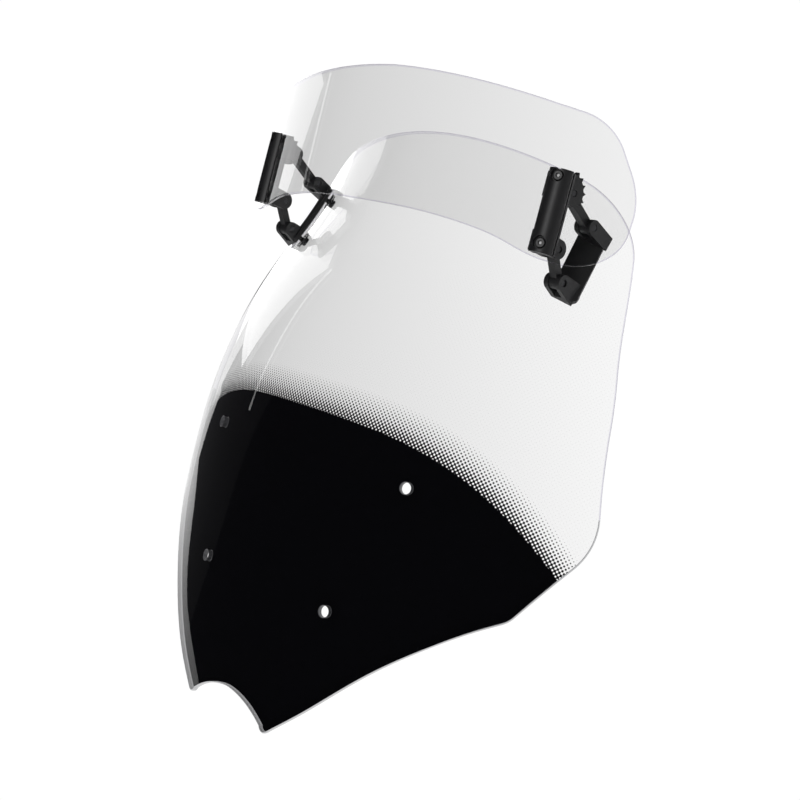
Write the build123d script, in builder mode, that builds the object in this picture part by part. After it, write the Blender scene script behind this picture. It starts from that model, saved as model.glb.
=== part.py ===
from build123d import *
from math import sin, cos, radians, atan2, degrees, sqrt
import os

os.makedirs("parts", exist_ok=True)

# Windshield screen for a motorcycle: a curved clear sheet with a small spoiler blade
# carried in front of its top edge on two pairs of links.
#
# Everything is drawn with the line through the lower and upper fixing holes upright,
# then leaned back by RAKE when it is saved. Millimetres. Origin: midway between the
# two lower fixing holes. +X across, -Y towards the front wheel, +Z up.

RAKE = 26.5

# clear sheet: a surface of revolution about an upright axis behind it
AXIS_Y = 318.0
SHEET = 4.0
SWEEP = 100.0
PROFILE = [(-125, 10), (-50, -3), (25, -10.5), (90, -17.8), (140, -19.7),
           (190, -16), (240, -6.5), (290, 9), (335, 19.5), (390, 23)]
FIX_R = 4.25
FIX_HOLES = [(111.3, 104.1), (74.0, 0.0)]

# spoiler blade: a bent sheet leaning forwards
BLADE = 3.0
BLADE_Y = -34.3
BLADE_Z = 288.0
BLADE_LEAN = 6.5
BLADE_R = 391.0
BLADE_END_R = 200.0

# linkage, drawn for the +X side: pivots as (y, z), all axes along X
PIVOT_A = (41.3, 322.6)
PIVOT_B = (9.0, 336.5)
PIVOT_C = (30.3, 277.0)
PIVOT_D = (13.7, 296.4)
EAR_IN = 148.25
EAR_OUT = 162.75
SLOT_IN = 152.1
SLOT_OUT = 158.9
LINK_GAP = 0.2
PIN_R = 2.5
EAR_BORE = 2.52
LINK_BORE = 2.56
OPEN_BORE = 3.3

# toothed sector on the outer cheek of each upper blade pivot
SECTOR = (4.5, 334.5)
SECTOR_R = 14.3
TOOTH_PITCH = 20.5

# clamp bar on the blade
BAR_X = 159.3
BAR_Z = 317.8
BAR_LENGTH = 59.5
BAR_WIDTH = 17.5
BAR_HEIGHT = 6.7
STRIP = 2.4
FOOT = 5.0
CLAMP_AT = [(25.0, 1.0), (-22.8, 1.0)]

# base pad on the clear sheet
PAD_X = 154.7
PAD_Z = 294.5
PAD_LENGTH = 57.0
PAD_WIDTH = 20.8
PAD_SHIFT = 2.4
GASKET = 1.0
PAD = 2.5
PAD_AT = [(20.5, 0), (-20.5, 0)]
WASHER_R = 7.0
WASHER = 2.0

LEAN = Location((0, 0, 0), (-RAKE, 0, 0))


def save(part, name):
    moved = LEAN * part
    moved.label = name
    export_step(moved, f"parts/{name}.step")


def save_pair(part, name):
    save(part, f"{name}_right")
    save(mirror(part, about=Plane.YZ), f"{name}_left")


def sheet_radius(z):
    # radius of the sheet's front surface at height z, and its slope
    curve = Spline(*[(AXIS_Y - y, h) for h, y in PROFILE])
    low, high = 0.0, 1.0
    for _ in range(40):
        mid = (low + high) / 2
        if curve.position_at(mid).Y < z:
            low = mid
        else:
            high = mid
    tangent = curve.tangent_at(low)
    return curve.position_at(low).X, tangent.X / tangent.Y


def on_sheet(x, z):
    # point on the sheet's front surface at x, z, and the outward normal there
    radius, slope = sheet_radius(z)
    y = AXIS_Y - sqrt(radius * radius - x * x)
    normal = Vector(x / radius, (y - AXIS_Y) / radius, -slope).normalized()
    return Vector(x, y, z), normal


def sheet_blank():
    start = radians(-SWEEP / 2)
    plane = Plane(origin=(0, AXIS_Y, 0), x_dir=(sin(start), -cos(start), 0),
                  z_dir=(-cos(start), -sin(start), 0))
    with BuildPart() as blank:
        with BuildSketch(plane):
            with BuildLine():
                front = Spline(*[(AXIS_Y - y, z) for z, y in PROFILE])
                Polyline(front @ 0, (200, PROFILE[0][0]), (200, PROFILE[-1][0]), front @ 1)
            make_face()
        revolve(axis=Axis((0, AXIS_Y, 0), (0, 0, 1)), revolution_arc=SWEEP)
    return blank.part


def blade_blank():
    lean = radians(BLADE_LEAN)
    base_y = BLADE_Y + (BLADE_Z - 200.0) * sin(lean) / cos(lean)
    turn = degrees(atan2(150.0, sqrt(BLADE_R ** 2 - 150.0 ** 2)))
    with BuildPart() as blank:
        with BuildSketch(Plane.XY.offset(200)):
            with BuildLine():
                middle = CenterArc((0, base_y + BLADE_R), BLADE_R, 270, turn)
                end = JernArc(middle @ 1, middle % 1, BLADE_END_R, 20)
                Polyline(end @ 1, (end @ 1) + (0, 150), (0, (end @ 1).Y + 150))
                mirror(about=Plane.YZ)
            make_face()
        extrude(amount=260, dir=(0, -sin(lean), cos(lean)))
    return blank.part


def front_faces(blank, least):
    # the faces of a trimmed blank that look forwards
    return [f for f in blank.faces() if f.area > least and f.normal_at(f.center()).Y < -0.6]


SHEET_BLANK = sheet_blank()
BLADE_BLANK = blade_blank()

# where the parts of one side sit on the two sheets
pad_point, pad_normal = on_sheet(PAD_X, PAD_Z)
pad_top, _ = on_sheet(PAD_X - 1.6, PAD_Z + 26.0)
pad_up = (pad_top - pad_point)
pad_up = (pad_up - pad_normal * pad_up.dot(pad_normal)).normalized()
PAD_PLANE = Plane(origin=pad_point, x_dir=pad_up, z_dir=pad_normal)

bar_turn = atan2(150.0, sqrt(BLADE_R ** 2 - 150.0 ** 2))
bar_turn = bar_turn + (BAR_X - 150.0) / cos(radians(24)) / BLADE_END_R
blade_end_y = BLADE_R - sqrt(BLADE_R ** 2 - 150.0 ** 2)
bar_y = BLADE_Y + blade_end_y + (BAR_X - 150.0) * sin(bar_turn - 0.025) / cos(bar_turn - 0.025)
bar_y = bar_y - (BAR_Z - BLADE_Z) * sin(radians(BLADE_LEAN)) / cos(radians(BLADE_LEAN))
bar_side = Vector(cos(bar_turn), sin(bar_turn), 0)
bar_up = Vector(0, -sin(radians(BLADE_LEAN)), cos(radians(BLADE_LEAN)))
bar_out = bar_side.cross(bar_up).normalized()
BAR_PLANE = Plane(origin=(BAR_X, bar_y, BAR_Z), x_dir=bar_up, z_dir=bar_out)


def patch_faces(blank, plane, length, width, corner, shift=0.0):
    # front face of a blank trimmed to a rounded rectangle on the given plane
    with BuildPart() as patch:
        add(blank)
        with BuildSketch(plane):
            with Locations((0, shift)):
                RectangleRounded(length, width, corner)
        extrude(amount=25, both=True, mode=Mode.INTERSECT)
    return front_faces(patch.part, 20)


def mirrored(plane):
    # the same plane on the other side of the part
    o, x, z = plane.origin, plane.x_dir, plane.z_dir
    return Plane(origin=(-o.X, o.Y, o.Z), x_dir=(-x.X, x.Y, x.Z), z_dir=(-z.X, z.Y, z.Z))


PAD_FACES = patch_faces(SHEET_BLANK, PAD_PLANE, PAD_LENGTH, PAD_WIDTH, 3.0, PAD_SHIFT)
PAD_AROUND = patch_faces(SHEET_BLANK, PAD_PLANE, PAD_LENGTH + 40, PAD_WIDTH + 30, 1.0)
FOOT_FACES = patch_faces(BLADE_BLANK, BAR_PLANE, BAR_LENGTH, BAR_WIDTH, 1.0)
FOOT_AROUND = patch_faces(BLADE_BLANK, BAR_PLANE, BAR_LENGTH + 24, BAR_WIDTH + 16, 3.0)


def main_screen():
    with BuildPart() as blank:
        add(SHEET_BLANK)
        with BuildSketch(Plane.XZ):
            with BuildLine():
                top = ThreePointArc((0, 374.5), (60, 371.3), (112, 363.4))
                side = FilletPolyline(top @ 1, (166.8, 352), (213.8, 208), (233.5, 108), (197, 40),
                                      (186, 31.2), radius=[76, 300, 60, 22])
                low = Spline(side @ 1, (154, 3), (121, -29.3), (75, -78), (50, -100.5),
                             tangents=[(-11, -8.8), (-26, -23)])
                tip = ThreePointArc(low @ 1, (45.5, -102.2), (41.5, -98.6))
                ThreePointArc(tip @ 1, (20.7, -87.3), (0, -83.3))
                mirror(about=Plane.YZ)
            make_face()
        extrude(amount=300, both=True, mode=Mode.INTERSECT)
    with BuildPart() as sheet:
        for face in front_faces(blank.part, 3000):
            thicken(face, amount=-SHEET)
        for x, z in FIX_HOLES:
            point, normal = on_sheet(x, z)
            with BuildSketch(Plane(origin=point, z_dir=normal)):
                Circle(FIX_R)
            extrude(amount=15, both=True, mode=Mode.SUBTRACT)
            with BuildSketch(Plane(origin=(-point.X, point.Y, point.Z),
                                   z_dir=(-normal.X, normal.Y, normal.Z))):
                Circle(FIX_R)
            extrude(amount=15, both=True, mode=Mode.SUBTRACT)
        for plane in (PAD_PLANE, mirrored(PAD_PLANE)):
            with BuildSketch(plane):
                with Locations(*PAD_AT):
                    Circle(2.25)
            extrude(amount=15, both=True, mode=Mode.SUBTRACT)
    return sheet.part


def spoiler_blade():
    with BuildPart() as blank:
        add(BLADE_BLANK)
        with BuildSketch(Plane.XZ):
            with BuildLine():
                top = ThreePointArc((0, 399.9), (83, 396.5), (146, 391))
                side = FilletPolyline(top @ 1, (183, 388), (207, 344), (204.5, 284),
                                      (160, 284.3), radius=[35, 60, 36])
                Spline(side @ 1, (130, 290.3), (97, 294.9), (62, 296.8), (0, 297),
                       tangents=[(-1, 0.03), (-1, 0)])
                mirror(about=Plane.YZ)
            make_face()
        extrude(amount=300, both=True, mode=Mode.INTERSECT)
    with BuildPart() as sheet:
        for face in front_faces(blank.part, 1000):
            thicken(face, amount=-BLADE)
        for plane, side in ((BAR_PLANE, 1), (mirrored(BAR_PLANE), -1)):
            with BuildSketch(plane):
                with Locations(*[(along, side * over) for along, over in CLAMP_AT]):
                    Circle(2.25)
            extrude(amount=12, both=True, mode=Mode.SUBTRACT)
    return sheet.part


def clamp_bar():
    # section across the bar: local x runs across, local y points away from the blade
    side = bar_side * -1
    section = Plane(origin=BAR_PLANE.origin - bar_up * (BAR_LENGTH / 2), x_dir=side, z_dir=bar_up)
    half = BAR_WIDTH / 2
    with BuildPart() as bar:
        with BuildSketch(section):
            with BuildLine():
                Polyline((half, 0.8), (half, -2.0), (-half, -2.0), (-half, 1.6))
                ThreePointArc((-half, 1.6), (-0.6, BAR_HEIGHT), (half, 0.8))
            make_face()
        extrude(amount=BAR_LENGTH)
        for face in FOOT_AROUND:
            thicken(face, amount=-15, mode=Mode.SUBTRACT)
        with BuildSketch(BAR_PLANE):
            with Locations(*CLAMP_AT):
                Circle(2.1)
        extrude(amount=20, both=True, mode=Mode.SUBTRACT)
        with BuildSketch(BAR_PLANE.offset(STRIP - 0.8)):
            with Locations(*CLAMP_AT):
                Circle(4.9)
        extrude(amount=8, mode=Mode.SUBTRACT)
    return bar.part


def clamp_screws():
    # two button-head screws through the bar and the blade into the bracket's foot
    seat = STRIP - 0.8
    with BuildPart() as screws:
        with BuildSketch(BAR_PLANE.offset(seat)):
            with Locations(*CLAMP_AT):
                Circle(3.8)
        extrude(amount=2.4)
        tops = screws.faces().filter_by(lambda f: f.normal_at(f.center()).dot(bar_out) > 0.9)
        fillet(tops.edges(), 1.0)
        with BuildSketch(BAR_PLANE.offset(-BLADE - FOOT + 0.4)):
            with Locations(*CLAMP_AT):
                Circle(2.0)
        extrude(amount=BLADE + FOOT - 0.4 + seat)
        with BuildSketch(BAR_PLANE.offset(seat + 2.4)):
            with Locations(*CLAMP_AT):
                RegularPolygon(1.5, 6)
        extrude(amount=-1.6, mode=Mode.SUBTRACT)
    return screws.part


def lug(pivot, radius, points, x_from, x_to):
    # plate across X: the hull of a circle round a pivot and some outline points
    with BuildPart() as plate:
        with BuildSketch(Plane.YZ.offset(x_from)):
            with BuildLine():
                CenterArc(pivot, radius, 0, 360)
                Polyline(*points)
            make_hull()
        extrude(amount=x_to - x_from)
    return plate.part


def across(pivot, radius, x_from, x_to):
    # round bar along X at a pivot
    with BuildPart() as bar:
        with BuildSketch(Plane.YZ.offset(x_from)):
            with Locations(pivot):
                Circle(radius)
        extrude(amount=x_to - x_from)
    return bar.part


def slot_box(y_from, y_to, z_from, z_to):
    # gap between the two ears for a link
    with BuildPart() as gap:
        with BuildSketch(Plane.YZ.offset(SLOT_IN)):
            with Locations(((y_from + y_to) / 2, (z_from + z_to) / 2)):
                Rectangle(y_to - y_from, z_to - z_from)
        extrude(amount=SLOT_OUT - SLOT_IN)
    return gap.part


def base_bracket():
    # pad on the sheet with the upper ears (A) and the lower block with its ears (C)
    with BuildPart() as bracket:
        add(lug(PIVOT_A, 5.7, [(66, 322), (66, 311)], EAR_IN, EAR_OUT))
        add(lug(PIVOT_C, 6.0, [(50, 262.6), (50, 281.5)], EAR_IN, EAR_OUT))
        add(slot_box(PIVOT_A[0] - 12, PIVOT_A[0] + 6.5, PIVOT_A[1] - 15, PIVOT_A[1] + 15), mode=Mode.SUBTRACT)
        add(slot_box(PIVOT_C[0] - 12, PIVOT_C[0] + 6.5, PIVOT_C[1] - 15, PIVOT_C[1] + 15), mode=Mode.SUBTRACT)
        add(across(PIVOT_A, EAR_BORE, EAR_IN, EAR_OUT), mode=Mode.SUBTRACT)
        add(across(PIVOT_C, EAR_BORE, EAR_IN, EAR_OUT), mode=Mode.SUBTRACT)
        for face in PAD_AROUND:
            thicken(face, amount=-24, mode=Mode.SUBTRACT)
        for face in PAD_FACES:
            thicken(face, amount=GASKET + PAD)
        for face in PAD_AROUND:
            thicken(face, amount=GASKET, mode=Mode.SUBTRACT)
        with BuildSketch(PAD_PLANE):
            with Locations(*PAD_AT):
                Circle(2.02)
        extrude(amount=5.6, mode=Mode.SUBTRACT)
    return bracket.part


def base_gasket():
    with BuildPart() as gasket:
        for face in PAD_FACES:
            thicken(face, amount=GASKET)
        with BuildSketch(PAD_PLANE):
            with Locations(*PAD_AT):
                Circle(2.25)
        extrude(amount=10, both=True, mode=Mode.SUBTRACT)
    return gasket.part


def washer_faces():
    # round patches of the sheet's front surface where the washers sit behind it
    patches = []
    for along, over in PAD_AT:
        with BuildPart() as patch:
            add(SHEET_BLANK)
            with BuildSketch(PAD_PLANE):
                with Locations((along, over)):
                    Circle(WASHER_R)
            extrude(amount=25, both=True, mode=Mode.INTERSECT)
        patches += front_faces(patch.part, 20)
    return patches


def backing_washers():
    # two round washers that follow the back of the sheet
    with BuildPart() as washers:
        for face in washer_faces():
            thicken(face, amount=-SHEET - WASHER)
        for face in PAD_AROUND:
            thicken(face, amount=-SHEET, mode=Mode.SUBTRACT)
        with BuildSketch(PAD_PLANE):
            with Locations(*PAD_AT):
                Circle(2.25)
        extrude(amount=20, both=True, mode=Mode.SUBTRACT)
    return washers.part


def base_screws():
    # two screws from behind, through the washers and the sheet into the bracket
    back = -SHEET - WASHER - 0.4
    with BuildPart() as screws:
        with BuildSketch(PAD_PLANE.offset(back)):
            with Locations(*PAD_AT):
                Circle(3.8)
        extrude(amount=-2.2)
        rear = screws.faces().filter_by(lambda f: f.normal_at(f.center()).dot(pad_normal) < -0.9)
        fillet(rear.edges(), 1.0)
        with BuildSketch(PAD_PLANE.offset(back)):
            with Locations(*PAD_AT):
                Circle(2.0)
        extrude(amount=5.4 - back)
        with BuildSketch(PAD_PLANE.offset(back - 2.2)):
            with Locations(*PAD_AT):
                RegularPolygon(1.5, 6)
        extrude(amount=1.5, mode=Mode.SUBTRACT)
    return screws.part


def toothed_cheek():
    # outer cheek at B: a round hub with a sector of five teeth above it
    with BuildPart() as cheek:
        add(lug(SECTOR, SECTOR_R, [(-14, 331), (-14, 345)], SLOT_OUT, EAR_OUT))
        with BuildSketch(Plane.YZ.offset(SLOT_OUT)):
            with Locations(SECTOR):
                with PolarLocations(SECTOR_R, 5, -1.5, 5 * TOOTH_PITCH):
                    RegularPolygon(2.5, 3)
        extrude(amount=EAR_OUT - SLOT_OUT)
        with BuildSketch(Plane.YZ.offset(SLOT_OUT)):
            with Locations((SECTOR[0] + 5, SECTOR[1] - 14)):
                Rectangle(40, 20)
        extrude(amount=EAR_OUT - SLOT_OUT, mode=Mode.SUBTRACT)
    return cheek.part


def spoiler_bracket():
    # foot behind the blade with the upper ears (B), the toothed cheek and lower ears (D)
    with BuildPart() as bracket:
        add(lug(PIVOT_B, 6.0, [(-14, 326), (-14, 346)], EAR_IN, EAR_OUT))
        add(lug(PIVOT_D, 6.9, [(-12, 289), (-12, 304)], EAR_IN, EAR_OUT))
        add(toothed_cheek())
        add(across(PIVOT_B, 9.4, SLOT_OUT, EAR_OUT))
        add(slot_box(PIVOT_B[0] - 6.5, PIVOT_B[0] + 12, PIVOT_B[1] - 18, PIVOT_B[1] + 18), mode=Mode.SUBTRACT)
        add(slot_box(PIVOT_D[0] - 6.5, PIVOT_D[0] + 12, PIVOT_D[1] - 13, PIVOT_D[1] + 13), mode=Mode.SUBTRACT)
        add(across(PIVOT_B, EAR_BORE, EAR_IN, EAR_OUT), mode=Mode.SUBTRACT)
        add(across(PIVOT_D, EAR_BORE, EAR_IN, EAR_OUT), mode=Mode.SUBTRACT)
        for face in FOOT_FACES:
            thicken(face, amount=-BLADE - FOOT)
        for face in FOOT_AROUND:
            thicken(face, amount=25, mode=Mode.SUBTRACT)
        for face in FOOT_AROUND:
            thicken(face, amount=-BLADE, mode=Mode.SUBTRACT)
        with BuildSketch(BAR_PLANE):
            with Locations(*CLAMP_AT):
                Circle(2.02)
        extrude(amount=-BLADE - FOOT - 1.0, mode=Mode.SUBTRACT)
    return bracket.part


def link(start, end, r_start, r_end, width, bore_start, bore_end):
    middle = ((start[0] + end[0]) / 2, (start[1] + end[1]) / 2)
    length = sqrt((start[0] - end[0]) ** 2 + (start[1] - end[1]) ** 2)
    turn = degrees(atan2(end[1] - start[1], end[0] - start[0]))
    with BuildPart() as bar:
        with BuildSketch(Plane.YZ.offset(SLOT_IN + LINK_GAP)):
            with Locations(start):
                Circle(r_start)
            with Locations(end):
                Circle(r_end)
            with Locations(Location((middle[0], middle[1], 0), (0, 0, turn))):
                Rectangle(length, width)
            with Locations(start):
                Circle(bore_start, mode=Mode.SUBTRACT)
            with Locations(end):
                Circle(bore_end, mode=Mode.SUBTRACT)
        extrude(amount=SLOT_OUT - SLOT_IN - 2 * LINK_GAP)
    return bar.part


def pivot_pin(pivot, recess):
    # plain pin across the ears, pressed in; its outer end sits in the bore by the recess
    with BuildPart() as pin:
        add(across(pivot, PIN_R, EAR_IN, EAR_OUT - recess))
        chamfer(pin.edges().filter_by(GeomType.CIRCLE), 0.3)
    return pin.part


save(main_screen(), "main_screen")
save(spoiler_blade(), "spoiler_blade")
save_pair(clamp_bar(), "clamp_bar")
save_pair(clamp_screws(), "clamp_screws")
save_pair(spoiler_bracket(), "spoiler_bracket")
save_pair(base_bracket(), "base_bracket")
save_pair(base_gasket(), "base_gasket")
save_pair(backing_washers(), "backing_washers")
save_pair(base_screws(), "base_screws")
save_pair(link(PIVOT_A, PIVOT_B, 5.2, 5.2, 6.6, LINK_BORE, LINK_BORE), "upper_link")
save_pair(link(PIVOT_C, PIVOT_D, 5.2, 5.3, 5.8, LINK_BORE, OPEN_BORE), "lower_link")
save_pair(pivot_pin(PIVOT_A, 0.3), "upper_base_pin")
save_pair(pivot_pin(PIVOT_C, 1.2), "lower_base_pin")
save_pair(pivot_pin(PIVOT_B, 0.3), "upper_spoiler_pin")
save_pair(pivot_pin(PIVOT_D, 0.8), "lower_spoiler_pin")
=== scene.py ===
import math

import bpy
import numpy as np
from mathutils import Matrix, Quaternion, Vector
from mathutils.geometry import delaunay_2d_cdt


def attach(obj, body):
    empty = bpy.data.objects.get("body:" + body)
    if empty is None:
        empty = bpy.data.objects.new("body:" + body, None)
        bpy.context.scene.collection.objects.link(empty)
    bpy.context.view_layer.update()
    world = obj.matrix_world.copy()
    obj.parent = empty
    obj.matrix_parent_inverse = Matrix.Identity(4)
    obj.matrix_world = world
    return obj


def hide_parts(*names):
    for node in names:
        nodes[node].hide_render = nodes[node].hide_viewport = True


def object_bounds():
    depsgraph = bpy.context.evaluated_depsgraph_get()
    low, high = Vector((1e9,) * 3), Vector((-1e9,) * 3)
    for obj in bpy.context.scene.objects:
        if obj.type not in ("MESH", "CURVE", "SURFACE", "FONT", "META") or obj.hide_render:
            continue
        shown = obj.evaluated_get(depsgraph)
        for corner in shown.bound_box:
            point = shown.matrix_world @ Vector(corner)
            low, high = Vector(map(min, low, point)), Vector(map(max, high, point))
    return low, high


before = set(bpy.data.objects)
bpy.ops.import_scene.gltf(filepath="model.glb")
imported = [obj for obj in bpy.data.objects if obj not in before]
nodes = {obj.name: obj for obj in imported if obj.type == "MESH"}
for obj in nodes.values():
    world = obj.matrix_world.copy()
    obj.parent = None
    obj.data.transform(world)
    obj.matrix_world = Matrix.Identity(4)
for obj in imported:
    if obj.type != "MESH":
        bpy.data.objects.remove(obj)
cad_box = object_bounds()

# Sizes are in metres, in the part's own frame. Shapes of the two sheets are worked out
# upright, as in the CAD source, and then leaned back by RAKE about X.
MM = 0.001
RAKE = math.radians(26.5)

# clear sheet, a surface of revolution
AXIS_Y = 318.0
SHEET = 4.0
PROFILE = [(-125, 10), (-50, -3), (25, -10.5), (90, -17.8), (140, -19.7),
           (190, -16), (240, -6.5), (290, 9), (335, 19.5), (390, 23)]
FIX_R = 4.25
FIX_HOLES = [(111.3, 104.1), (74.0, 0.0)]

# blade
BLADE = 3.0
BLADE_Y, BLADE_Z = -34.3, 288.0
BLADE_LEAN = math.radians(6.5)
BLADE_R, BLADE_END_R, BLADE_TURN = 391.0, 200.0, math.asin(150.0 / 391.0)


def lean(points):
    """Upright millimetres to the part's frame in metres."""
    p = np.asarray(points, float)
    y = p[:, 1] * math.cos(RAKE) + p[:, 2] * math.sin(RAKE)
    z = -p[:, 1] * math.sin(RAKE) + p[:, 2] * math.cos(RAKE)
    return np.column_stack([p[:, 0], y, z]) * MM


def natural_spline(knots):
    """Cubic spline through (x, y) knots, as a function of x that gives value and slope."""
    x = np.array([k[0] for k in knots], float)
    y = np.array([k[1] for k in knots], float)
    h = np.diff(x)
    n = len(x)
    a = np.zeros((n, n))
    b = np.zeros(n)
    a[0, 0] = a[-1, -1] = 1
    for i in range(1, n - 1):
        a[i, i - 1:i + 2] = h[i - 1], 2 * (h[i - 1] + h[i]), h[i]
        b[i] = 6 * ((y[i + 1] - y[i]) / h[i] - (y[i] - y[i - 1]) / h[i - 1])
    m = np.linalg.solve(a, b)

    def value(t):
        t = np.asarray(t, float)
        i = np.clip(np.searchsorted(x, t) - 1, 0, n - 2)
        d, hi = t - x[i], h[i]
        s = (y[i + 1] - y[i]) / hi - hi * (2 * m[i] + m[i + 1]) / 6
        c = (m[i + 1] - m[i]) / (6 * hi)
        return y[i] + d * (s + d * (m[i] / 2 + d * c)), s + d * (m[i] + 3 * d * c)
    return value


front_line = natural_spline(PROFILE)


def sheet_point(x, z):
    """Points and outward normals on the clear sheet's front, upright."""
    y0, slope = front_line(z)
    radius = AXIS_Y - y0
    y = AXIS_Y - np.sqrt(radius ** 2 - x ** 2)
    normal = np.column_stack([x / radius, (y - AXIS_Y) / radius, slope])
    return np.column_stack([x, y, z]), normal / np.linalg.norm(normal, axis=1)[:, None]


def blade_point(x, z):
    """Points and outward normals on the blade's front, upright."""
    turn = np.arcsin(np.clip(np.abs(x) / BLADE_R, 0, 1))
    edge = BLADE_R * math.sin(BLADE_TURN)
    start = math.sin(BLADE_TURN) * BLADE_END_R
    end_turn = np.arcsin(np.clip((np.abs(x) - edge + start) / BLADE_END_R, 0, 0.99))
    outer = np.abs(x) > edge
    turn = np.where(outer, end_turn, turn)
    drop = np.where(outer, BLADE_R * (1 - math.cos(BLADE_TURN))
                    + BLADE_END_R * (math.cos(BLADE_TURN) - np.cos(turn)),
                    BLADE_R * (1 - np.cos(turn)))
    y = BLADE_Y - (z - BLADE_Z) * math.tan(BLADE_LEAN) + drop
    normal = np.column_stack([np.sign(x) * np.sin(turn), -np.cos(turn),
                              -np.cos(turn) * math.tan(BLADE_LEAN)])
    return np.column_stack([x, y, z]), normal / np.linalg.norm(normal, axis=1)[:, None]


# outlines of the right half, as polylines in (x, z) with rounded corners
def rounded(points, radii, step=3.0):
    """Polyline with its inner corners rounded, as a list of points."""
    out = [np.array(points[0], float)]
    for i, r in enumerate(radii, start=1):
        p, a, b = (np.array(points[k], float) for k in (i, i - 1, i + 1))
        u, v = (a - p) / np.linalg.norm(a - p), (b - p) / np.linalg.norm(b - p)
        half = math.acos(np.clip(u.dot(v), -1, 1)) / 2
        cut = r / math.tan(half)
        centre = p + (u + v) / np.linalg.norm(u + v) * r / math.sin(half)
        start, end = p + u * cut - centre, p + v * cut - centre
        sweep = math.pi - 2 * half
        count = max(4, int(r * sweep / step * 2))
        sign = np.sign(start[0] * end[1] - start[1] * end[0])
        for k in range(count + 1):
            t = sign * sweep * k / count
            c, s = math.cos(t), math.sin(t)
            out.append(centre + (c * start[0] - s * start[1], s * start[0] + c * start[1]))
    out.append(np.array(points[-1], float))
    return out


def arc3(a, m, b, count):
    """Points on the circle through three points."""
    a, m, b = (np.array(p, float) for p in (a, m, b))
    d = 2 * (a[0] * (m[1] - b[1]) + m[0] * (b[1] - a[1]) + b[0] * (a[1] - m[1]))
    sa, sm, sb = a.dot(a), m.dot(m), b.dot(b)
    c = np.array([(sa * (m[1] - b[1]) + sm * (b[1] - a[1]) + sb * (a[1] - m[1])) / d,
                  (sa * (b[0] - m[0]) + sm * (a[0] - b[0]) + sb * (m[0] - a[0])) / d])
    r = np.linalg.norm(a - c)
    t = [math.atan2(*(p - c)[::-1]) for p in (a, m, b)]
    for k in (1, 2):
        while t[k] - t[k - 1] > math.pi:
            t[k] -= 2 * math.pi
        while t[k] - t[k - 1] < -math.pi:
            t[k] += 2 * math.pi
    return [c + r * np.array([math.cos(s), math.sin(s)]) for s in np.linspace(t[0], t[2], count)]


def smooth_line(points, start, end, count=60):
    """Cubic spline through points with given end directions, as a list of points."""
    p = np.array(points, float)
    n = len(p)
    chord = np.linalg.norm(np.diff(p, axis=0), axis=1)
    t = np.concatenate([[0], np.cumsum(chord)])
    h = np.diff(t)
    a = np.zeros((n, n))
    b = np.zeros((n, 2))
    a[0, 0] = a[-1, -1] = 1
    b[0] = np.array(start, float) / np.linalg.norm(start)
    b[-1] = np.array(end, float) / np.linalg.norm(end)
    for i in range(1, n - 1):
        a[i, i - 1:i + 2] = 1 / h[i - 1], 2 / h[i - 1] + 2 / h[i], 1 / h[i]
        b[i] = 3 * ((p[i] - p[i - 1]) / h[i - 1] ** 2 + (p[i + 1] - p[i]) / h[i] ** 2)
    d = np.linalg.solve(a, b)
    out = []
    for s in np.linspace(0, t[-1], count):
        i = min(int(np.searchsorted(t, s, side="right") - 1), n - 2)
        u = (s - t[i]) / h[i]
        out.append((2 * u ** 3 - 3 * u ** 2 + 1) * p[i] + (u ** 3 - 2 * u ** 2 + u) * h[i] * d[i]
                   + (3 * u ** 2 - 2 * u ** 3) * p[i + 1] + (u ** 3 - u ** 2) * h[i] * d[i + 1])
    return out


def screen_outline():
    """Upper and lower edges of the clear sheet's right half, from the middle outwards."""
    loop = arc3((0, 374.5), (60, 371.3), (112, 363.4), 40)
    side = rounded([(112, 363.4), (166.8, 352), (213.8, 208), (233.5, 108), (197, 40), (186, 31.2)],
                   [76, 300, 60, 22])
    loop += side[1:]
    loop += smooth_line([(186, 31.2), (154, 3), (121, -29.3), (75, -78), (50, -100.5)],
                        (-11, -8.8), (-26, -23), 80)[1:]
    loop += arc3((50, -100.5), (45.5, -102.2), (41.5, -98.6), 10)[1:]
    loop += arc3((41.5, -98.6), (20.7, -87.3), (0, -83.3), 24)[1:]
    return np.array(loop)


def blade_outline():
    """Upper and lower edges of the blade's right half, from the middle outwards."""
    loop = arc3((0, 399.9), (83, 396.5), (146, 391), 50)
    loop += rounded([(146, 391), (183, 388), (207, 344), (204.5, 284), (160, 284.3)],
                    [35, 60, 36])[1:]
    loop += smooth_line([(160, 284.3), (130, 290.3), (97, 294.9), (62, 296.8), (0, 297)],
                        (-1, 0.03), (-1, 0), 70)[1:]
    return np.array(loop)


def resample(loop, step):
    """The same line with points about step apart."""
    length = np.concatenate([[0], np.cumsum(np.linalg.norm(np.diff(loop, axis=0), axis=1))])
    s = np.linspace(0, length[-1], int(length[-1] / step) + 1)
    return np.column_stack([np.interp(s, length, loop[:, k]) for k in (0, 1)])


def closed(half):
    """Whole outline from its right half, which runs clockwise from the top middle."""
    left = half[1:-1][::-1] * (-1, 1)
    return np.vstack([half, left])


def hole_loop(surface, x, z, radius, count=48):
    """Rim of a round hole square to the sheet, as (x, z) points, anticlockwise."""
    p, n = surface(np.array([x]), np.array([z]))
    across = np.cross(n[0], (0, 0, 1))
    across /= np.linalg.norm(across)
    up = np.cross(across, n[0])
    t = np.linspace(0, 2 * math.pi, count, endpoint=False)[:, None]
    ring = p[0] + radius * (np.cos(t) * across - np.sin(t) * up)
    return ring[:, (0, 2)]


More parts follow.
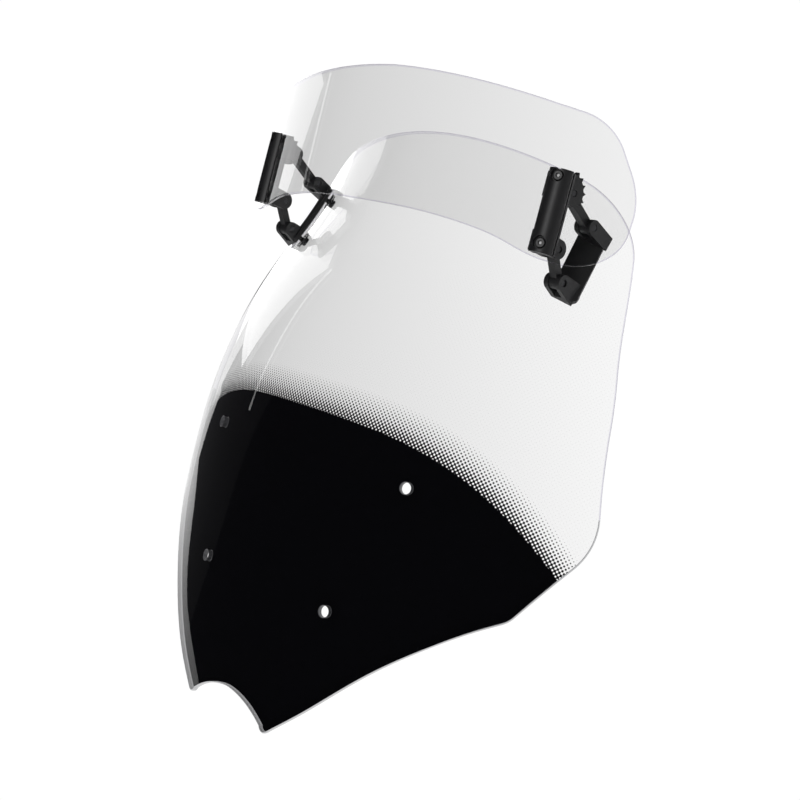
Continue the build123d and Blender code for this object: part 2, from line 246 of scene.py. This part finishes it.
def inside(points, loop):
    """Which (x, z) points lie inside a closed loop."""
    x, y = points[:, 0][:, None], points[:, 1][:, None]
    a, b = loop, np.roll(loop, -1, axis=0)
    crosses = (a[:, 1] > y) != (b[:, 1] > y)
    with np.errstate(divide="ignore", invalid="ignore"):
        at = (b[:, 0] - a[:, 0]) * (y - a[:, 1]) / (b[:, 1] - a[:, 1]) + a[:, 0]
    return (crosses & (x < at)).sum(axis=1) % 2 == 1


# mesh of the two sheets, in millimetres
OUTLINE_STEP = 2.4
MESH_SPACING = 5.0
COLUMN_SHRINK = 0.9     # columns of points draw together towards the sides
RIM_CLEARANCE = 0.55    # least gap from a grid point to a rim, as a share of the spacing
EDGE_R = 0.9            # rounding of the outline's rims
HOLE_RIM_SHARE = 0.6    # rounding of a hole's rims, as a share of EDGE_R
RIM_TURNS = (0, 22.5, 45, 67.5, 90)     # degrees through the rounding of one rim
SAME_POINT = 1e-5


def rim_profile(radius, thickness):
    """Turn, inset and depth of each ring round an edge, from the front face to the back."""
    front = []
    for degrees in RIM_TURNS:
        turn = math.radians(degrees)
        front.append((turn, radius * (1 - math.sin(turn)), radius * (1 - math.cos(turn))))
    back = [(math.pi - turn, inset, thickness - depth) for turn, inset, depth in front[::-1]]
    return front + back


def even_grid(flat):
    """Rows of points over a sheet, clear of its outline and holes, as (x, z) points."""
    outline, *holes = flat
    low, high = outline.min(axis=0), outline.max(axis=0)
    row_step = MESH_SPACING * math.sqrt(3) / 2
    count = int(high[0] / (MESH_SPACING * COLUMN_SHRINK)) + 2
    grid = []
    for k in range(int((high[1] - low[1]) / row_step)):
        z = low[1] + row_step * (k + 0.5)
        shift = MESH_SPACING / 2 * (k % 2)
        for m in range(-count, count + 1):
            turn = (m * MESH_SPACING + shift) / AXIS_Y
            grid.append((AXIS_Y * math.sin(turn), z))
    grid = np.array(grid)
    grid = grid[inside(grid, outline)]
    for hole in holes:
        grid = grid[~inside(grid, hole)]
    edge = np.vstack(flat)
    gap = np.sqrt(((grid[:, None, :] - edge[None]) ** 2).sum(axis=2)).min(axis=1)
    return grid[gap > MESH_SPACING * RIM_CLEARANCE]


def sheet_piece(name, half, surface, thickness, holes, materials):
    """A curved clear sheet with rounded rims: even triangles on its two faces, and rings of
    quads round its outline and holes. Material 0 is the front, 1 the back, 2 the outer rim
    and 3 the walls of the holes."""
    loops = [resample(closed(half), OUTLINE_STEP)]
    for x, z, r in holes:
        loops.append(hole_loop(surface, x, z, r))
    coords, normals, faces, slots = [], [], [], []
    fronts, backs = [], []
    for number, loop in enumerate(loops):
        radius = EDGE_R if number == 0 else EDGE_R * HOLE_RIM_SHARE
        p, n = surface(loop[:, 0], loop[:, 1])
        along = np.roll(p, -1, axis=0) - np.roll(p, 1, axis=0)
        out = np.cross(along, n)
        out /= np.linalg.norm(out, axis=1)[:, None]
        if number == 0 and inside((p + out)[:1][:, (0, 2)], loop)[0]:
            out = -out
        if number and np.dot(out[0], p.mean(axis=0) - p[0]) < 0:
            out = -out
        rings = []
        for tilt, inset, depth in rim_profile(radius, thickness):
            rings.append(range(len(coords), len(coords) + len(loop)))
            coords.extend(p - out * inset - n * depth)
            normals.extend(n * math.cos(tilt) + out * math.sin(tilt))
        fronts.append(rings[0])
        backs.append(rings[-1])
        flip = np.dot(np.cross(along[0], out[0]), n[0]) < 0
        for a, b in zip(rings, rings[1:]):
            for k in range(len(loop)):
                j = (k + 1) % len(loop)
                quad = [a[k], a[j], b[j], b[k]]
                faces.append(quad[::-1] if flip else quad)
                slots.append(3 if number else 2)
    flat = [np.array([coords[i] for i in f])[:, (0, 2)] for f in fronts]
    grid = even_grid(flat)
    edge = np.vstack(flat)
    ids = [i for f in fronts for i in f]
    back_ids = [i for f in backs for i in f]
    p, n = surface(grid[:, 0], grid[:, 1])
    first = len(coords)
    coords.extend(p)
    normals.extend(n)
    coords.extend(p - n * thickness)
    normals.extend(-n)
    ids += list(range(first, first + len(grid)))
    back_ids += list(range(first + len(grid), first + 2 * len(grid)))
    points = [Vector(c) for c in np.vstack([edge, grid])]
    edges, start = [], 0
    for f in flat:
        edges += [(start + k, start + (k + 1) % len(f)) for k in range(len(f))]
        start += len(f)
    corners, _, triangles, sources, _, _ = delaunay_2d_cdt(points, edges, [], 1, SAME_POINT)
    centres = np.array([np.mean([corners[i] for i in t], axis=0) for t in triangles])
    keep = np.ones(len(centres), bool)
    for hole in flat[1:]:
        keep &= ~inside(centres, hole)
    original = [source[0] if source else None for source in sources]
    for t, wanted in zip(triangles, keep):
        if not wanted:
            continue
        tri = [original[i] for i in t]
        a, b, c = (points[i] for i in tri)
        if (b - a).cross(c - a) > 0:
            tri = tri[::-1]
        front = [ids[i] for i in tri]
        faces.append(front[::-1])
        slots.append(0)
        faces.append([back_ids[i] for i in tri])
        slots.append(1)
    mesh = bpy.data.meshes.new(name)
    placed = lean(np.array(coords))
    mesh.from_pydata([tuple(v) for v in placed], [], faces)
    for m in materials:
        mesh.materials.append(m)
    mesh.polygons.foreach_set("material_index", slots)
    mesh.polygons.foreach_set("use_smooth", [True] * len(faces))
    turned = lean(np.array(normals)) / MM
    turned /= np.linalg.norm(turned, axis=1)[:, None]
    mesh.normals_split_custom_set_from_vertices([tuple(v) for v in turned])
    mesh.update()
    piece = bpy.data.objects.new(name, mesh)
    bpy.context.scene.collection.objects.link(piece)
    return piece


# materials
ACRYLIC_IOR = 1.49
FACING_GLOSS = 0.04     # reflection of an acrylic face seen straight on
GLOSS_POWER = 5.0       # how steeply it grows towards grazing
BACK_GLOSS = 0.3        # share of the gloss kept on the back faces


def node_material(name):
    """An empty node material and its tree."""
    m = bpy.data.materials.new(name)
    m.use_nodes = True
    m.node_tree.nodes.clear()
    return m, m.node_tree


class Graph:
    """Short ways to add nodes to a tree."""

    def __init__(self, tree):
        self.tree = tree

    def node(self, kind, **settings):
        n = self.tree.nodes.new("ShaderNode" + kind)
        for key, value in settings.items():
            setattr(n, key, value)
        return n

    def link(self, value, socket):
        if isinstance(value, bpy.types.NodeSocket):
            self.tree.links.new(value, socket)
        else:
            socket.default_value = value

    def math(self, kind, *values, clamp=False):
        n = self.node("Math", operation=kind, use_clamp=clamp)
        for value, socket in zip(values, n.inputs):
            self.link(value, socket)
        return n.outputs[0]


def clear_shader(g, tint, gloss_share=1.0):
    """A clear sheet's face: what is behind it, greyed by the slanted way through the
    material, under a Fresnel gloss. The tint is one face's share, straight through."""
    facing = g.node("LayerWeight")
    facing.inputs["Blend"].default_value = 0.5
    power = g.math("POWER", facing.outputs["Facing"], GLOSS_POWER)
    gloss = g.math("MULTIPLY_ADD", power, (1 - FACING_GLOSS) * gloss_share,
                   FACING_GLOSS * gloss_share)
    square = g.math("POWER", g.math("SUBTRACT", 1.0, facing.outputs["Facing"]), 2.0)
    bent = g.math("MULTIPLY_ADD", g.math("SUBTRACT", square, 1.0), 1 / ACRYLIC_IOR ** 2, 1.0)
    way = g.math("POWER", bent, -0.5)
    colour = g.node("CombineColor")
    for value, socket in zip(tint, colour.inputs):
        g.link(g.math("POWER", value, way), socket)
    through = g.node("BsdfTransparent")
    g.link(colour.outputs[0], through.inputs["Color"])
    shine = g.node("BsdfGlossy")
    shine.inputs["Roughness"].default_value = 0.02
    mix = g.node("MixShader")
    g.link(gloss, mix.inputs[0])
    g.link(through.outputs[0], mix.inputs[1])
    g.link(shine.outputs[0], mix.inputs[2])
    return mix.outputs[0]


def clear_material(name, tint, gloss_share=1.0):
    """One face of a clear sheet."""
    m, tree = node_material(name)
    g = Graph(tree)
    out = g.node("OutputMaterial")
    g.link(clear_shader(g, tint, gloss_share), out.inputs[0])
    return m


def upright_position(g):
    """X, Y and Z in upright millimetres."""
    where = g.node("TexCoord")
    upright = g.node("VectorRotate", rotation_type="X_AXIS")
    upright.inputs["Angle"].default_value = RAKE
    g.link(where.outputs["Object"], upright.inputs["Vector"])
    scale = g.node("VectorMath", operation="SCALE")
    scale.inputs["Scale"].default_value = 1 / MM
    g.link(upright.outputs[0], scale.inputs[0])
    split = g.node("SeparateXYZ")
    g.link(scale.outputs[0], split.inputs[0])
    return split.outputs


def rim_material(name, tint, highlight_below):
    """Polished cut edge: clear, with a darker tint that is painted shade, and below the print's
    height an opaque light grey that is a painted highlight where black print lies behind it.
    """
    m, tree = node_material(name)
    g = Graph(tree)
    out = g.node("OutputMaterial")
    # painted highlight: the rim below the print's height is an opaque light grey
    lit = g.node("BsdfPrincipled")
    lit.inputs["Base Color"].default_value = (0.50, 0.50, 0.51, 1)
    lit.inputs["Roughness"].default_value = 0.25
    low_part = g.math("LESS_THAN", upright_position(g)[2], highlight_below)
    mix = g.node("MixShader")
    g.link(low_part, mix.inputs[0])
    g.link(clear_shader(g, tint), mix.inputs[1])
    g.link(lit.outputs[0], mix.inputs[2])
    g.link(mix.outputs[0], out.inputs[0])
    return m


def hole_material(name):
    """Drilled wall of a fixing hole, greyed by the print round it."""
    m, tree = node_material(name)
    g = Graph(tree)
    wall = g.node("BsdfPrincipled")
    wall.inputs["Base Color"].default_value = (0.06, 0.06, 0.065, 1)
    wall.inputs["Roughness"].default_value = 0.3
    g.link(wall.outputs[0], g.node("OutputMaterial").inputs[0])
    return m


# print on the back face, in upright millimetres: its edge falls from PRINT_TOP at the middle
# by PRINT_DROP at PRINT_HALF to the side, and dots fade out over FADE above it
PRINT_TOP, PRINT_DROP, PRINT_HALF, PRINT_POWER = 137.2, 50.0, 206.0, 3.6
PRINT_R = AXIS_Y + 19
FADE = 26.0
DOT_PITCH = 2.45
DOTS_MERGED, DOTS_GONE = 0.30, 1.02     # levels of the dot pattern at the two ends of FADE
DOT_SHARPNESS = 8.0


def print_material(name, tint):
    """The back face: opaque black below the print's edge, dots that shrink upwards above it."""
    m, tree = node_material(name)
    g = Graph(tree)
    out = g.node("OutputMaterial")
    x, y, z = upright_position(g)
    reach = g.math("SUBTRACT", AXIS_Y, y)
    turn = g.math("ARCTAN2", x, reach)
    along = g.math("MULTIPLY", turn, PRINT_R)
    side = g.math("POWER", g.math("DIVIDE", g.math("ABSOLUTE", x), PRINT_HALF), PRINT_POWER)
    edge = g.math("MULTIPLY_ADD", side, -PRINT_DROP, PRINT_TOP)
    height = g.math("SUBTRACT", z, edge)
    k = 2 * math.pi / (DOT_PITCH * math.sqrt(2))
    u = g.math("COSINE", g.math("MULTIPLY", g.math("ADD", along, z), k))
    v = g.math("COSINE", g.math("MULTIPLY", g.math("SUBTRACT", along, z), k))
    wave = g.math("MULTIPLY_ADD", g.math("ADD", u, v), 0.25, 0.5)
    level = g.node("MapRange")
    for key, value in (("From Min", 0.0), ("From Max", FADE),
                       ("To Min", DOTS_MERGED), ("To Max", DOTS_GONE)):
        level.inputs[key].default_value = value
    g.link(height, level.inputs["Value"])
    over = g.math("SUBTRACT", wave, level.outputs[0])
    dots = g.math("MULTIPLY_ADD", over, DOT_SHARPNESS, 0.5, clamp=True)
    solid = g.math("LESS_THAN", height, 0.0)
    mask = g.math("MAXIMUM", dots, solid)
    rear = g.node("BsdfPrincipled")
    rear.inputs["Base Color"].default_value = (0.004, 0.004, 0.005, 1)
    rear.inputs["Roughness"].default_value = 0.35
    bonded = g.node("BsdfDiffuse")
    bonded.inputs["Color"].default_value = (0.0016, 0.0016, 0.0022, 1)
    ink = g.node("MixShader")
    g.link(g.node("NewGeometry").outputs["Backfacing"], ink.inputs[0])
    g.link(rear.outputs[0], ink.inputs[1])
    g.link(bonded.outputs[0], ink.inputs[2])
    mix = g.node("MixShader")
    g.link(mask, mix.inputs[0])
    g.link(clear_shader(g, tint, BACK_GLOSS), mix.inputs[1])
    g.link(ink.outputs[0], mix.inputs[2])
    g.link(mix.outputs[0], out.inputs[0])
    return m


GRAIN_SCALE, GRAIN_DEPTH = 900.0, 0.2 * MM
SOFT_EDGE = 0.5 * MM
SPOT_R = 1.0 * MM


def moulded_material(name, colour, roughness, grain, metallic=0.0, highlight_at=()):
    """Black moulded or coated surface: fine grain, softened edges. Round light grey spots at the
    given points are painted highlights on the floors of screw sockets."""
    m, tree = node_material(name)
    g = Graph(tree)
    out = g.node("OutputMaterial")
    body = g.node("BsdfPrincipled")
    where = g.node("TexCoord")
    noise = g.node("TexNoise")
    noise.inputs["Scale"].default_value = GRAIN_SCALE
    noise.inputs["Detail"].default_value = 4.0
    g.link(where.outputs["Object"], noise.inputs["Vector"])
    ramp = g.node("MapRange")
    for key, value in (("From Min", 0.3), ("From Max", 0.7), ("To Min", roughness - 0.05),
                       ("To Max", roughness + 0.07)):
        ramp.inputs[key].default_value = value
    g.link(noise.outputs[0], ramp.inputs["Value"])
    g.link(ramp.outputs[0], body.inputs["Roughness"])
    soft_edge = g.node("Bevel", samples=4)
    soft_edge.inputs["Radius"].default_value = SOFT_EDGE
    bump = g.node("Bump")
    bump.inputs["Strength"].default_value = grain
    bump.inputs["Distance"].default_value = GRAIN_DEPTH
    g.link(noise.outputs[0], bump.inputs["Height"])
    g.link(soft_edge.outputs[0], bump.inputs["Normal"])
    g.link(bump.outputs[0], body.inputs["Normal"])
    body.inputs["Base Color"].default_value = (*colour, 1)
    body.inputs["Metallic"].default_value = metallic
    result = body.outputs[0]
    # painted highlight: an opaque light grey spot at each given point
    for point in highlight_at:
        away = g.node("VectorMath", operation="DISTANCE")
        g.link(where.outputs["Object"], away.inputs[0])
        away.inputs[1].default_value = point
        near = g.math("LESS_THAN", away.outputs["Value"], SPOT_R)
        painted_glint = g.node("BsdfPrincipled")
        painted_glint.inputs["Base Color"].default_value = (0.85, 0.85, 0.85, 1)
        painted_glint.inputs["Roughness"].default_value = 0.6
        mix = g.node("MixShader")
        g.link(near, mix.inputs[0])
        g.link(result, mix.inputs[1])
        g.link(painted_glint.outputs[0], mix.inputs[2])
        result = mix.outputs[0]
    g.link(result, out.inputs[0])
    return m


# a clamp bar in upright millimetres: its middle, its turn with the blade's bend, and the
# places of its two screws along it and across it, with the height of their socket floors
BAR_X, BAR_Z = 159.3, 317.8
BAR_PAST_BEND, BAR_SLOPE = 9.3, math.radians(24)
BAR_TURN = BLADE_TURN + BAR_PAST_BEND / math.cos(BAR_SLOPE) / BLADE_END_R
SCREWS_ALONG, SCREWS_ACROSS, SOCKET_FLOOR = (25.0, -22.8), 1.0, 2.4


def socket_floors(side):
    """Centres of the socket floors of one clamp bar's two screws, in the part's frame, where the
    painted highlights go.
    """
    p, _ = blade_point(np.array([BAR_X]), np.array([BAR_Z]))
    across = np.array([math.cos(BAR_TURN), math.sin(BAR_TURN), 0])
    up = np.array([0, -math.sin(BLADE_LEAN), math.cos(BLADE_LEAN)])
    out = np.cross(across, up)
    spots = [p[0] + up * along - across * SCREWS_ACROSS + out * SOCKET_FLOOR
             for along in SCREWS_ALONG]
    return [tuple(v) for v in lean(np.array(spots) * (side, 1, 1))]


SCREEN_TINT = (0.98, 0.98, 0.98)
BLADE_TINT = (0.944, 0.944, 0.944)
# the rims let through less light than the faces, purplish: painted shade for the dark line that
# refraction draws along a cut edge
RIM_SHADE_TINT = (0.87, 0.86, 0.90)
RIM_HIGHLIGHT_BELOW = 128.0   # height of the print behind the rim, in upright millimetres; the rim below it has a painted highlight
PLASTIC = (0.004, 0.004, 0.005)
SCREW_STEEL = (0.006, 0.006, 0.007)
PIN_STEEL = (0.05, 0.05, 0.053)
RUBBER = (0.012, 0.012, 0.012)
clear = clear_material("clear_acrylic", SCREEN_TINT)
blade_clear = clear_material("blade_acrylic", BLADE_TINT)
blade_back = clear_material("blade_acrylic_back", BLADE_TINT, BACK_GLOSS)
rim = rim_material("acrylic_rim", RIM_SHADE_TINT, RIM_HIGHLIGHT_BELOW)
hole_wall = hole_material("hole_wall")
printed = print_material("printed_back", SCREEN_TINT)
satin = moulded_material("satin_black", PLASTIC, 0.45, 0.04)
grained = moulded_material("grained_black", PLASTIC, 0.5, 0.12)
coated = moulded_material("black_steel", PIN_STEEL, 0.35, 0.03, metallic=0.9)
rubber = moulded_material("black_rubber", RUBBER, 0.7, 0.1)

holes = [(s * x, z, FIX_R) for x, z in FIX_HOLES for s in (1, -1)]
screen = sheet_piece("screen", screen_outline(), sheet_point, SHEET, holes,
                     [clear, printed, rim, hole_wall])
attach(screen, "root")
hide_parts("main_screen")
blade = sheet_piece("blade", blade_outline(), blade_point, BLADE, [],
                    [blade_clear, blade_back, rim])
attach(blade, "spoiler")
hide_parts("spoiler_blade")

REPLACED = ("main_screen", "spoiler_blade")
for name, node in nodes.items():
    if name in REPLACED:
        continue
    if name.startswith("clamp_screws"):
        side = 1 if name.endswith("right") else -1
        # the screws' material gets a painted highlight, a light grey spot on each socket floor
        look = moulded_material(name + "_steel", SCREW_STEEL, 0.4, 0.03,
                                highlight_at=socket_floors(side))
    elif name.startswith("clamp_bar"):
        look = satin
    elif name.startswith("base_gasket"):
        look = rubber
    elif "screws" in name or "pin" in name or "washers" in name:
        look = coated
    else:
        look = grained
    node.data.materials.clear()
    node.data.materials.append(look)

# floor, lights and camera. The floor lights the part from below and shows in reflections;
# the camera doesn't see it.
FLOOR_BELOW = 0.5
FLOOR_LENGTH, FLOOR_WIDTH = 30, 60
FLOOR_EDGE = -1.5
bpy.ops.mesh.primitive_plane_add(size=1, location=(0, 0, 0))
floor = bpy.context.object
floor.name = "floor"
floor.scale = (FLOOR_LENGTH, FLOOR_WIDTH, 1)
floor.location = (FLOOR_EDGE + FLOOR_LENGTH / 2, 0, cad_box[0].z - FLOOR_BELOW)
m, tree = node_material("pale_floor")
g = Graph(tree)
paper = g.node("BsdfDiffuse")
paper.inputs["Color"].default_value = (0.93, 0.93, 0.93, 1)
g.link(paper.outputs[0], g.node("OutputMaterial").inputs[0])
floor.data.materials.append(m)
floor.visible_camera = False

# World strengths. The backdrop is white where it is seen directly. Seen through acrylic it
# is a grey sweep that brightens along SWEEP_ALONG, from the left to the right of the camera's view, up to
# SWEEP_TOP. The sweep has no lower limit, so it turns black looking against SWEEP_ALONG.
WHITE, FILL = 1.01, 1.10
DARK = (0.02, 0.02, 0.022)
SWEEP_ALONG = (0.668, 0.744, 0.0)
SWEEP_MIDDLE, SWEEP_RISE, SWEEP_TOP = 1.06, 1.44, 1.27
world = bpy.data.worlds.new("studio")
bpy.context.scene.world = world
world.use_nodes = True
g = Graph(world.node_tree)
world.node_tree.nodes.clear()
ray = g.node("LightPath")


def backdrop(colour, strength):
    """A plain background of one colour."""
    b = g.node("Background")
    b.inputs[0].default_value = (*colour, 1)
    b.inputs[1].default_value = strength
    return b.outputs[0]


def choose(flag, off, on):
    """The background on for rays of one kind, and off for the others."""
    mix = g.node("MixShader")
    g.link(ray.outputs[flag], mix.inputs[0])
    g.link(off, mix.inputs[1])
    g.link(on, mix.inputs[2])
    return mix.outputs[0]


sweep = g.node("VectorMath", operation="DOT_PRODUCT")
g.link(g.node("TexCoord").outputs["Generated"], sweep.inputs[0])
sweep.inputs[1].default_value = SWEEP_ALONG
slope = g.math("MULTIPLY_ADD", sweep.outputs["Value"], SWEEP_RISE, SWEEP_MIDDLE)
grey = g.node("Background")
g.link(g.math("MINIMUM", slope, SWEEP_TOP), grey.inputs[1])
seen_through = g.node("MixShader")
through_acrylic = g.math("GREATER_THAN", ray.outputs["Transparent Depth"], 0.5)
g.link(through_acrylic, seen_through.inputs[0])
g.link(backdrop((1, 1, 1), WHITE), seen_through.inputs[1])
g.link(grey.outputs[0], seen_through.inputs[2])
fill = backdrop((1, 1, 1), FILL)
dark = backdrop(DARK, 1.0)
sky = choose("Is Glossy Ray", choose("Is Diffuse Ray", seen_through.outputs[0], fill), dark)
g.link(sky, g.node("OutputWorld").inputs[0])


def soft_box(name, place, target, size, radiance, lit, roll=0.0):
    """Rectangular light seen only in the reflections of the collection lit; roll turns it
    about its own axis."""
    light = bpy.data.lights.new(name, "AREA")
    light.shape = "RECTANGLE"
    light.size, light.size_y = size
    light.energy = math.pi * radiance * light.size * light.size_y
    lamp = bpy.data.objects.new(name, light)
    lamp.location = place
    turn = (Vector(target) - Vector(place)).to_track_quat("-Z", "Y")
    lamp.rotation_euler = (turn @ Quaternion((0, 0, 1), math.radians(roll))).to_euler()
    lamp.visible_camera = False
    lamp.visible_diffuse = False
    lamp.visible_transmission = False
    lamp.light_linking.receiver_collection = lit
    bpy.context.scene.collection.objects.link(lamp)


def group(name, members):
    """A collection of objects, for the lights that shine only on them."""
    made = bpy.data.collections.new(name)
    for member in members:
        made.objects.link(member)
    return made


sheets = group("clear_sheets", [screen, blade])
hardware = group("hardware", [node for name, node in nodes.items() if name not in REPLACED])
BOARD_X = -0.53


def side_board(name, y, z, size, radiance, roll=0.0):
    """A soft box on the left that faces straight across, seen in the sheets' gloss."""
    soft_box(name, (BOARD_X, y, z), (0, y, z), size, radiance, sheets, roll)


# A bright board on the left with two dimmer ones below it, a long one under the part's left
# and a narrow strip in front; a dark card behind them, a white wall behind the part, and a
# tall box in front for the black hardware.
side_board("side_board", 0.276, 0.305, (0.40, 0.30), 2.2)
side_board("side_board_low", 0.245, 0.12, (0.19, 0.09), 1.2)
side_board("side_board_back", 0.24, -0.0875, (0.22, 0.325), 1.2)
side_board("side_table", -0.102, -0.181, (0.56, 0.14), 1.2, roll=-19)
side_board("side_strip", -0.010, 0.318, (0.010, 0.346), 2.0, roll=24)
soft_box("side_card", (BOARD_X - 0.05, 0.32, 0.2), (0, 0.32, 0.2), (1.0, 0.8), 0.03, sheets)
soft_box("back_wall", (-4.0, 5.0, 3.0), (-4.0, 0.0, 3.0), (24, 8), 0.95, sheets)
soft_box("bar_light", (0.86, -2.5, 1.5), (0.15, 0.1, 0.25), (1.3, 2.4), 4, hardware)

CAMERA_PLACE = (0.8572, -0.6273, 0.4449)
CAMERA_DOWN, CAMERA_HEADING = 15.92, 48.12      # degrees
camera = bpy.data.cameras.new("camera")
camera.lens = 67.5
camera.sensor_width = 36.0
shot = bpy.data.objects.new("camera", camera)
shot.location = CAMERA_PLACE
shot.rotation_euler = (math.radians(90 - CAMERA_DOWN), 0, math.radians(CAMERA_HEADING))
bpy.context.scene.collection.objects.link(shot)
bpy.context.scene.camera = shot
bpy.context.scene.view_settings.view_transform = "Standard"
